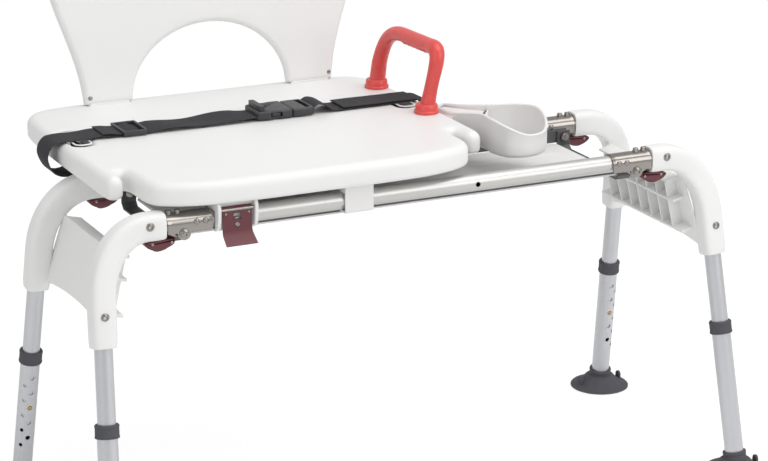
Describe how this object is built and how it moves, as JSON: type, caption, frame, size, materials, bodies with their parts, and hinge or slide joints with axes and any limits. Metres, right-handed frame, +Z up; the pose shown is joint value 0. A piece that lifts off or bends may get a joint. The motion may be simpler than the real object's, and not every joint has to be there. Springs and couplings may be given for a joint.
{
  "type": "sliding transfer bench",
  "caption": "Folding bath transfer bench: a moulded seat with backrest, belt, grab handle and side tray slides along two rails on folding end frames with adjustable suction-foot legs.",
  "frame": {"origin": "middle of the footprint's bounding box, on the floor plane under the suction feet", "axes": "+X along the rails, the way the seat slides from rest; +Y from the front edge of the seat towards the backrest; +Z up"},
  "size_m": [1.1042, 0.6186, 0.8769],
  "materials": {
    "white_moulding": "blow-moulded polyethylene, fine satin texture",
    "grey_moulding": "moulded plastic, satin",
    "aluminium_tube": "satin anodised",
    "stainless_steel": "polished",
    "dark_steel": "dark grey powder coat",
    "maroon_enamel": "smooth maroon coating",
    "red_moulding": "moulded plastic, satin",
    "grey_rubber": "matt moulded rubber",
    "black_webbing": "woven polypropylene webbing",
    "black_moulding": "moulded acetal",
    "brass_button": "bright, slightly worn"
  },
  "bodies": {
    "rail_frame": {"front_rail": "aluminium_tube", "rear_rail": "aluminium_tube", "front_stiffener_bar": "dark_steel", "rear_stiffener_bar": "dark_steel", "left_cross_strap": "dark_steel", "right_cross_strap": "dark_steel", "deck_panel": "grey_moulding", "front_right_bracket": "stainless_steel", "front_right_pivot_bolt": "stainless_steel", "rear_right_bracket": "stainless_steel", "rear_right_pivot_bolt": "stainless_steel", "rear_left_bracket": "stainless_steel", "rear_left_pivot_bolt": "stainless_steel", "front_left_bracket": "stainless_steel", "front_left_pivot_bolt": "stainless_steel"},
    "seat": {"seat_panel": "white_moulding", "grab_handle": "red_moulding", "side_tray": "grey_moulding", "front_guide": "grey_moulding", "rear_guide": "grey_moulding", "lock_housing": "grey_moulding", "belt_left": "black_webbing", "belt_middle": "black_webbing", "belt_right": "black_webbing", "slide_adjuster": "black_moulding", "buckle_body": "black_moulding", "buckle_tongue": "black_moulding"},
    "backrest": {"backrest": "white_moulding"},
    "lock_lever": {"lock_lever": "maroon_enamel"},
    "lock_pin": {"lock_pin": "stainless_steel"},
    "left_end": {"left_end_frame": "white_moulding", "rear_left_upper_leg": "aluminium_tube", "rear_left_hinge_tongue": "stainless_steel", "front_left_upper_leg": "aluminium_tube", "front_left_hinge_tongue": "stainless_steel"},
    "right_end": {"right_end_frame": "white_moulding", "front_right_upper_leg": "aluminium_tube", "front_right_hinge_tongue": "stainless_steel", "rear_right_upper_leg": "aluminium_tube", "rear_right_hinge_tongue": "stainless_steel"},
    "front_right_latch": {"front_right_latch_lever": "maroon_enamel"},
    "front_right_leg": {"front_right_lower_leg": "aluminium_tube", "front_right_collar": "grey_rubber", "front_right_foot": "grey_rubber"},
    "front_right_button": {"front_right_button": "brass_button"},
    "rear_right_latch": {"rear_right_latch_lever": "maroon_enamel"},
    "rear_right_leg": {"rear_right_lower_leg": "aluminium_tube", "rear_right_collar": "grey_rubber", "rear_right_foot": "grey_rubber"},
    "rear_right_button": {"rear_right_button": "brass_button"},
    "rear_left_latch": {"rear_left_latch_lever": "maroon_enamel"},
    "rear_left_leg": {"rear_left_lower_leg": "aluminium_tube", "rear_left_collar": "grey_rubber", "rear_left_foot": "grey_rubber"},
    "rear_left_button": {"rear_left_button": "brass_button"},
    "front_left_latch": {"front_left_latch_lever": "maroon_enamel"},
    "front_left_leg": {"front_left_lower_leg": "aluminium_tube", "front_left_collar": "grey_rubber", "front_left_foot": "grey_rubber"},
    "front_left_button": {"front_left_button": "brass_button"}
  },
  "joints": [
    {"name": "seat_slide", "type": "slide", "parent": "rail_frame", "child": "seat", "axis": [1, 0, 0], "range_m": [0, 0.378]},
    {"name": "backrest_lift", "type": "slide", "parent": "seat", "child": "backrest", "axis": [0, 0.0698, 0.9976], "range_m": [0, 0.06]},
    {"name": "lock_lever_pivot", "type": "hinge", "parent": "seat", "child": "lock_lever", "pos_m": [-0.284, -0.19118, 0.503], "axis": [-1, 0, 0], "range_deg": [0, 20], "stiffness_Nm_per_rad": 0.5, "springref_deg": -11.46},
    {"name": "lock_pin_slide", "type": "slide", "parent": "seat", "child": "lock_pin", "axis": [0, -1, 0], "range_m": [0, 0.004]},
    {"name": "left_fold", "type": "hinge", "parent": "rail_frame", "child": "left_end", "pos_m": [-0.359, -0.05568, 0.476], "axis": [0, -1, 0], "range_deg": [0, 101]},
    {"name": "right_fold", "type": "hinge", "parent": "rail_frame", "child": "right_end", "pos_m": [0.359, -0.05568, 0.476], "axis": [0, 1, 0], "range_deg": [0, 90]},
    {"name": "front_right_latch_pivot", "type": "hinge", "parent": "right_end", "child": "front_right_latch", "pos_m": [0.374, -0.16968, 0.466], "axis": [0, 1, 0], "range_deg": [0, 15], "stiffness_Nm_per_rad": 0.3, "springref_deg": -17.19},
    {"name": "front_right_leg_height", "type": "slide", "parent": "right_end", "child": "front_right_leg", "axis": [-0.0532, 0.1837, 0.9815], "range_m": [-0.0508, 0.0508]},
    {"name": "front_right_button_press", "type": "slide", "parent": "right_end", "child": "front_right_button", "axis": [-0.0049, -0.983, 0.1837], "range_m": [0, 0.004], "stiffness_N_per_m": 800, "springref_m": -0.002},
    {"name": "rear_right_latch_pivot", "type": "hinge", "parent": "right_end", "child": "rear_right_latch", "pos_m": [0.374, 0.05832, 0.466], "axis": [0, 1, 0], "range_deg": [0, 15], "stiffness_Nm_per_rad": 0.3, "springref_deg": -17.19},
    {"name": "rear_right_leg_height", "type": "slide", "parent": "right_end", "child": "rear_right_leg", "axis": [-0.0532, -0.1837, 0.9815], "range_m": [-0.0508, 0.0508]},
    {"name": "rear_right_button_press", "type": "slide", "parent": "right_end", "child": "rear_right_button", "axis": [-0.0049, 0.983, 0.1837], "range_m": [0, 0.004], "stiffness_N_per_m": 800, "springref_m": -0.002},
    {"name": "rear_left_latch_pivot", "type": "hinge", "parent": "left_end", "child": "rear_left_latch", "pos_m": [-0.374, 0.05832, 0.466], "axis": [0, -1, 0], "range_deg": [0, 15], "stiffness_Nm_per_rad": 0.3, "springref_deg": -17.19},
    {"name": "rear_left_leg_height", "type": "slide", "parent": "left_end", "child": "rear_left_leg", "axis": [0.0532, -0.1837, 0.9815], "range_m": [-0.0508, 0.0508]},
    {"name": "rear_left_button_press", "type": "slide", "parent": "left_end", "child": "rear_left_button", "axis": [0.0049, 0.983, 0.1837], "range_m": [0, 0.004], "stiffness_N_per_m": 800, "springref_m": -0.002},
    {"name": "front_left_latch_pivot", "type": "hinge", "parent": "left_end", "child": "front_left_latch", "pos_m": [-0.374, -0.16968, 0.466], "axis": [0, -1, 0], "range_deg": [0, 15], "stiffness_Nm_per_rad": 0.3, "springref_deg": -17.19},
    {"name": "front_left_leg_height", "type": "slide", "parent": "left_end", "child": "front_left_leg", "axis": [0.0532, 0.1837, 0.9815], "range_m": [-0.0508, 0.0508]},
    {"name": "front_left_button_press", "type": "slide", "parent": "left_end", "child": "front_left_button", "axis": [0.0049, -0.983, 0.1837], "range_m": [0, 0.004], "stiffness_N_per_m": 800, "springref_m": -0.002}
  ],
  "couplings": [
    {"joint": "lock_pin_slide", "follows": "lock_lever_pivot", "m_per_rad": 0.0105}
  ]
}
